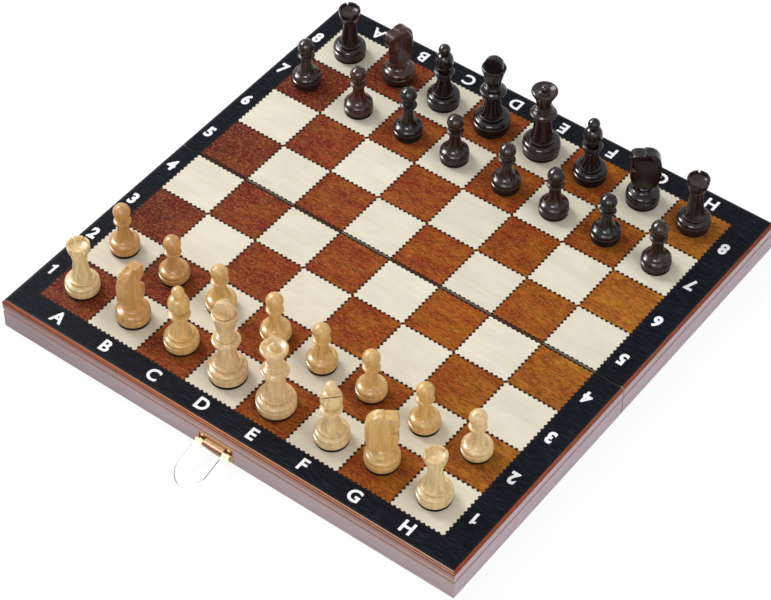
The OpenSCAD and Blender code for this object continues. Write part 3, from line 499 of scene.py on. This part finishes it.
def dotRows(side, name, material):  # side: -1 for the near half, 1 for the far half
    square, files, ranks = board["square"], board["files"], board["ranks"]
    pitch = square / dots["perSquare"]
    perRow = files * dots["perSquare"] + 1
    rows = newDot(firstFile, side * square)  # rows along X, on each line between ranks
    repeatAlong(perRow, (pitch, 0, 0))
    repeatAlong(ranks, (0, side * square, 0))
    fold = newDot(firstFile, side * dots["foldRow"])  # the row beside the fold is cut off at the edge
    repeatAlong(perRow, (pitch, 0, 0))
    bpy.ops.object.mode_set(mode="EDIT")
    bpy.ops.mesh.select_all(action="SELECT")
    bpy.ops.mesh.bisect(plane_co=(0, side * board["foldEdge"] * mm, 0), plane_no=(0, side, 0), clear_inner=True,
                        use_fill=True)
    bpy.ops.object.mode_set(mode="OBJECT")
    middle = board["foldEdge"] + dots["burnt"] / 2  # a burnt band along the fold, half as thick as the dots
    bpy.ops.mesh.primitive_cube_add(size=mm, location=(board["shiftX"] * mm, side * middle * mm,
                                                       (board["top"] + dots["height"] / 4) * mm))
    band = bpy.context.object
    band.scale = (files * square, dots["burnt"], dots["height"] / 2)
    bpy.ops.object.transform_apply(location=True, rotation=True, scale=True)
    columns = newDot(firstFile, side * pitch)  # columns along Y, between those rows
    repeatAlong(dots["perSquare"] - 1, (0, side * pitch, 0))
    repeatAlong(ranks, (0, side * square, 0))
    repeatAlong(files + 1, (square, 0, 0))
    deselectAll()
    for piece in (rows, fold, band, columns):
        piece.select_set(True)
    bpy.context.view_layer.objects.active = rows
    bpy.ops.object.join()
    rows.name = name
    rows.data.materials.append(material)
    return rows


# the one is drawn, with its flag: its outline in millimetres from its middle
lettering = {"size": 9.6, "bold": 0.03, "digitBold": 0.045, "digitWidth": 0.9, "height": 0.02, "curveSteps": 4,
             "nearY": -126.3, "farY": 126.3, "leftX": -128.2, "rightX": 123.5, "firstX": -104.9, "pitch": 29.6,
             "rankPitch": 29.7, "thin": ((1.5, 0.5, 1), 3), "ink": [(0.2, "#dbe1ea"), (0.36, "#fcfdff")],
             "one": [(1.15, -3.4), (1.15, 3.4), (0.2, 3.4), (-0.2, 2.75), (-1.5, 2.2), (-1.5, 1.0), (-0.25, 1.45),
                     (-0.25, -3.4)]}


# screen-printed letters: opaque white ink, slightly thin over the grain
def whiteInk():
    material, tree, shader, place = newMaterial("whiteInk", Roughness=0.5)
    thin = finePattern(tree, place, *lettering["thin"])
    finishSurface(tree, shader, addNode(tree, "ValToRGB", [thin], ramp=lettering["ink"]))
    return material


def newLetter(text, x, y, turned):
    deselectAll()
    bpy.ops.object.text_add(location=(x * mm, y * mm, (board["top"] + lettering["height"]) * mm),
                            rotation=(0, 0, math.pi if turned else 0))
    letter = bpy.context.object
    letter.data.body = text
    letter.data.size = lettering["size"] * mm
    letter.data.align_x, letter.data.align_y = "CENTER", "CENTER"
    digit = text.isdigit()
    letter.scale.x = lettering["digitWidth"] if digit else 1
    letter.data.offset = lettering["digitBold" if digit else "bold"] * lettering["size"] * mm
    letter.data.extrude = lettering["height"] * mm / 2
    letter.data.resolution_u = lettering["curveSteps"]
    bpy.ops.object.convert(target="MESH")
    bpy.ops.object.transform_apply(location=True, rotation=True, scale=True)
    return bpy.context.object


def newOne(x, y, turned):
    deselectAll()
    outline = bpy.data.meshes.new("one")
    corners = [(px * mm, py * mm, 0) for px, py in lettering["one"][::-1]]
    outline.from_pydata(corners, [], [range(len(corners))])
    one = bpy.data.objects.new("one", outline)
    bpy.context.scene.collection.objects.link(one)
    one.location = (x * mm, y * mm, board["top"] * mm)
    one.rotation_euler = (0, 0, math.pi if turned else 0)
    pick(one)
    bpy.ops.object.modifier_add(type="SOLIDIFY")
    thick = bpy.context.object.modifiers[-1]
    thick.thickness, thick.offset = 2 * lettering["height"] * mm, 0
    bpy.ops.object.modifier_apply(modifier=thick.name)
    bpy.ops.object.transform_apply(location=True, rotation=True, scale=True)
    return one


def letterRows(side, name, material):  # files along the outer wall, ranks at both ends
    letters = []
    ranks = board["ranks"]
    y = lettering["nearY"] if side < 0 else lettering["farY"]
    for i, text in enumerate("ABCDEFGH"):
        letters.append(newLetter(text, lettering["firstX"] + i * lettering["pitch"], y, side > 0))
    for rank in range(1, ranks + 1) if side < 0 else range(ranks + 1, 2 * ranks + 1):
        y = (rank - ranks - 0.5) * lettering["rankPitch"]
        for x, turned in ((lettering["leftX"], False), (lettering["rightX"], True)):
            letters.append(newOne(x, y, turned) if rank == 1 else newLetter(str(rank), x, y, turned))
    deselectAll()
    for letter in letters:
        letter.select_set(True)
    bpy.context.view_layer.objects.active = letters[0]
    bpy.ops.object.join()
    letters[0].name = name
    letters[0].data.materials.clear()
    letters[0].data.materials.append(material)
    return letters[0]


dotInk, letterInk = inkedDots(), whiteInk()
for side, half in ((-1, "near"), (1, "far")):
    rows = dotRows(side, half + "_dots", dotInk)
    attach(rows, half + "_half")
    letters = letterRows(side, half + "_letters", letterInk)
    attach(letters, half + "_half")
print("dots and letters on the board")

stage = {"floorSize": 6, "floorDrop": 0.02, "paper": "#f0f0f0", "paperGlow": 0.4, "seeThrough": 0.8,
         "skyLight": 0.5}


def paperFloor():  # white sweep: keeps a soft shadow, and the camera sees the white studio partly through it
    material = bpy.data.materials.new("paperSweep")
    material.use_nodes = True
    tree = material.node_tree
    tree.nodes.clear()
    path = addNode(tree, "LightPath").outputs
    seen = addNode(tree, "Math", [path["Is Camera Ray"], path["Is Glossy Ray"]], operation="MAXIMUM")
    paper = addNode(tree, "BsdfDiffuse", {"Color": hexColour(stage["paper"])})
    glow = addNode(tree, "Emission", {"Strength": stage["paperGlow"]})
    noGlow = addNode(tree, "Emission", {"Strength": 0})
    lit = addNode(tree, "MixShader", [seen, noGlow, glow])
    both = addNode(tree, "AddShader", [paper, lit])
    share = addNode(tree, "Math", [path["Is Camera Ray"], stage["seeThrough"]], operation="MULTIPLY")
    fromBelow = addNode(tree, "NewGeometry").outputs["Backfacing"]
    share = addNode(tree, "Math", [share, fromBelow], operation="MAXIMUM")
    clear = addNode(tree, "BsdfTransparent")
    addNode(tree, "OutputMaterial", {"Surface": addNode(tree, "MixShader", [share, both, clear])})
    return material


deselectAll()
bpy.ops.mesh.primitive_plane_add(size=stage["floorSize"], location=(0, 0, -stage["floorDrop"] * mm))
floor = bpy.context.object
floor.name = "floor"
floor.data.materials.append(paperFloor())

world = bpy.data.worlds.new("whiteStudio")
bpy.context.scene.world = world
world.use_nodes = True
tree = world.node_tree
tree.nodes.clear()
path = addNode(tree, "LightPath").outputs
seen = addNode(tree, "Math", [path["Is Camera Ray"], path["Is Glossy Ray"]], operation="MAXIMUM")
seen = addNode(tree, "Math", [seen, path["Is Transmission Ray"]], operation="MAXIMUM")
strength = addNode(tree, "MapRange", [seen, 0, 1, stage["skyLight"], 1])
sky = addNode(tree, "Background", {"Color": (1, 1, 1, 1), "Strength": strength})
addNode(tree, "OutputWorld", {"Surface": sky})

# place and size in metres, power in watts; a glint lights no surface and shows only in the lacquer and the brass
lights = {"keyLight": {"place": (-1.4, 0.2, 1.35), "power": 23, "size": 0.8, "diffuse": True},
          "fillLight": {"place": (1.6, -0.9, 0.9), "power": 9, "size": 1, "diffuse": True},
          "leftGlint": {"place": (-1.45, -0.35, 1.2), "power": 60, "size": 0.6, "diffuse": False},
          "frontGlint": {"place": (0.5, -1.45, 1.5), "power": 36, "size": 0.9, "diffuse": False}}

for name, softbox in lights.items():  # each looks at the board's centre
    x, y, z = softbox["place"]
    bpy.ops.object.light_add(type="AREA", location=(x, y, z),
                             rotation=(math.atan2(math.hypot(x, y), z), 0, math.atan2(x, -y)))
    light = bpy.context.object
    light.name = name
    light.data.energy, light.data.size, light.data.shape = softbox["power"], softbox["size"], "SQUARE"
    light.visible_diffuse = softbox["diffuse"]

view = {"place": (0.52503, -0.70811, 0.96231), "angles": (42.2015, -0.2105, 37.0410), "lens": 124.22,
        "sensor": 36, "clip": (0.01, 30)}

bpy.ops.object.camera_add(location=view["place"], rotation=[math.radians(angle) for angle in view["angles"]])
camera = bpy.context.object
camera.data.lens, camera.data.sensor_width = view["lens"], view["sensor"]
camera.data.clip_start, camera.data.clip_end = view["clip"]
bpy.context.scene.camera = camera
bpy.context.scene.view_settings.view_transform = "Standard"
print("floor, lights and camera set")
